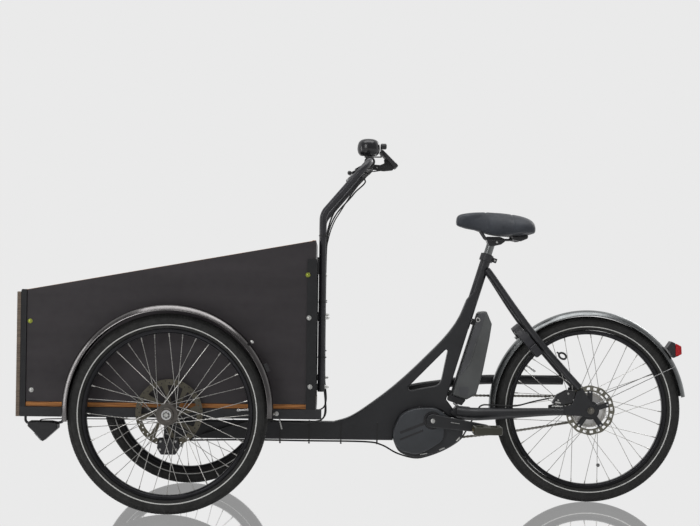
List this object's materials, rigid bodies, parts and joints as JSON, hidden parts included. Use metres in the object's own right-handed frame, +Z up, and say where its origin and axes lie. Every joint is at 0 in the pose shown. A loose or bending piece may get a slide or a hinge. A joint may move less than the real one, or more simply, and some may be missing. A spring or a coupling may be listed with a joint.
{
  "type": "cargo tricycle",
  "caption": "Front-box cargo tricycle with a steering plywood box, push bar, mid motor, battery, lamps, mudguards and disc brakes.",
  "frame": {"origin": "centre of the bounding box at floor level", "axes": "+X runs from the box at the front to the rear wheel, +Y is the rider's right, +Z is up"},
  "size_m": [2.1088, 0.87, 1.166],
  "materials": {
    "frame_black": "satin black powder coat",
    "plywood": "dark film-faced plywood with pale edges",
    "tyre_rubber": "matt rubber with a thin pale stripe",
    "wheel_metal": "black rim, bright spokes and hub",
    "brake_steel": "ground steel",
    "polished_guard": "polished",
    "caliper_black": "satin black",
    "hose_black": "matt black sleeve",
    "grip_rubber": "matt rubber",
    "control_black": "satin black",
    "motor_shell": "fine textured dark grey",
    "battery_shell": "fine textured dark grey",
    "drive_steel": "oiled steel",
    "crank_alloy": "satin black",
    "pedal_black": "moulded, grained",
    "post_alloy": "satin black",
    "saddle_skin": "soft dark synthetic skin",
    "lamp_black": "black body",
    "lock_black": "satin black",
    "lock_steel": "bright steel"
  },
  "bodies": {
    "rear_frame": {"frame_spine": "frame_black", "seat_collar": "frame_black", "seat_stays": "frame_black", "left_chain_stay": "frame_black", "rear_axle": "drive_steel", "motor_housing": "motor_shell", "motor_cover": "motor_shell", "battery_dock": "frame_black", "rear_mudguard": "polished_guard", "rear_mudguard_stay": "polished_guard", "tail_light": "lamp_black", "ring_lock": "lock_black", "rear_caliper": "caliper_black", "chain": "drive_steel", "rear_hose_lower": "hose_black"},
    "front_frame": {"box_base_frame": "frame_black", "axle_beam": "frame_black", "king_pin": "frame_black", "box_floor": "plywood", "left_side_panel": "plywood", "right_side_panel": "plywood", "front_panel": "plywood", "rear_panel": "plywood", "push_bar": "frame_black", "bell_dome": "control_black", "display": "control_black", "left_grip": "grip_rubber", "right_grip": "grip_rubber", "left_lever_mount": "control_black", "right_lever_mount": "control_black", "left_front_mudguard": "polished_guard", "right_front_mudguard": "polished_guard", "headlight": "lamp_black", "left_brake_caliper": "caliper_black", "right_brake_caliper": "caliper_black", "front_brake_hose": "hose_black", "left_branch_hose": "hose_black", "rear_hose_upper": "hose_black"},
    "left_wheel": {"left_tyre": "tyre_rubber", "left_wheel": "wheel_metal", "left_rotor": "brake_steel"},
    "right_wheel": {"right_tyre": "tyre_rubber", "right_wheel": "wheel_metal", "right_rotor": "brake_steel"},
    "rear_wheel": {"rear_tyre": "tyre_rubber", "rear_wheel": "wheel_metal", "rear_rotor": "brake_steel"},
    "crank": {"crankset": "crank_alloy", "chainring": "drive_steel"},
    "sprocket": {"rear_sprocket": "drive_steel"},
    "left_pedal": {"left_pedal": "pedal_black"},
    "right_pedal": {"right_pedal": "pedal_black"},
    "left_lever": {"left_brake_lever": "control_black"},
    "right_lever": {"right_brake_lever": "control_black"},
    "seat": {"seat_post": "post_alloy", "saddle": "saddle_skin"},
    "battery": {"battery": "battery_shell"},
    "lock_shackle": {"lock_shackle": "lock_steel"},
    "bell_lever": {"bell_lever": "control_black"},
    "shifter": {"twist_shifter": "grip_rubber"}
  },
  "joints": [
    {"name": "steering", "type": "hinge", "parent": "rear_frame", "child": "front_frame", "pos_m": [-0.5879, 0, 0.2], "axis": [0, 0, 1], "range_deg": [-30, 30]},
    {"name": "left_wheel_spin", "type": "hinge", "parent": "front_frame", "child": "left_wheel", "pos_m": [-0.5879, -0.385, 0.301], "axis": [0, 1, 0], "continuous": true},
    {"name": "right_wheel_spin", "type": "hinge", "parent": "front_frame", "child": "right_wheel", "pos_m": [-0.5879, 0.385, 0.301], "axis": [0, 1, 0], "continuous": true},
    {"name": "rear_wheel_spin", "type": "hinge", "parent": "rear_frame", "child": "rear_wheel", "pos_m": [0.7336, 0, 0.301], "axis": [0, 1, 0], "continuous": true},
    {"name": "crank_spin", "type": "hinge", "parent": "rear_frame", "child": "crank", "pos_m": [0.2271, 0, 0.264], "axis": [0, 1, 0], "continuous": true},
    {"name": "sprocket_spin", "type": "hinge", "parent": "rear_frame", "child": "sprocket", "pos_m": [0.7336, 0.05, 0.301], "axis": [0, 1, 0], "continuous": true},
    {"name": "left_pedal_spin", "type": "hinge", "parent": "crank", "child": "left_pedal", "pos_m": [0.3955, -0.1425, 0.2406], "axis": [0, 1, 0], "continuous": true},
    {"name": "right_pedal_spin", "type": "hinge", "parent": "crank", "child": "right_pedal", "pos_m": [0.0587, 0.1425, 0.2874], "axis": [0, 1, 0], "continuous": true},
    {"name": "left_brake", "type": "hinge", "parent": "front_frame", "child": "left_lever", "pos_m": [-0.01735, -0.059, 1.06275], "axis": [-0.493, 0, 0.87], "range_deg": [0, 16], "stiffness_Nm_per_rad": 0.8, "springref_deg": -14.32},
    {"name": "right_brake", "type": "hinge", "parent": "front_frame", "child": "right_lever", "pos_m": [-0.01735, 0.059, 1.06275], "axis": [0.493, 0, -0.87], "range_deg": [0, 16], "stiffness_Nm_per_rad": 0.8, "springref_deg": -14.32},
    {"name": "seat_height", "type": "slide", "parent": "rear_frame", "child": "seat", "axis": [0.2976, 0, 0.9547], "range_m": [-0.02, 0.1]},
    {"name": "battery_release", "type": "hinge", "parent": "rear_frame", "child": "battery", "pos_m": [0.2922, -0.038, 0.3431], "axis": [0.9547, 0, -0.2976], "range_deg": [0, 20]},
    {"name": "lock_bolt", "type": "hinge", "parent": "rear_frame", "child": "lock_shackle", "pos_m": [0.5366, 0, 0.5156], "axis": [-0.766, 0, -0.6428], "range_deg": [0, 96], "stiffness_Nm_per_rad": 0.05, "springref_deg": -45.84},
    {"name": "bell_thumb", "type": "hinge", "parent": "front_frame", "child": "bell_lever", "pos_m": [0.0131, -0.034, 1.112], "axis": [0, 0, -1], "range_deg": [0, 20], "stiffness_Nm_per_rad": 0.05, "springref_deg": -11.46},
    {"name": "gear_twist", "type": "hinge", "parent": "front_frame", "child": "shifter", "pos_m": [0.0131, 0.089, 1.08], "axis": [0, 1, 0], "range_deg": [0, 90]}
  ],
  "couplings": [
    {"joint": "sprocket_spin", "follows": "crank_spin", "ratio": 2}
  ]
}
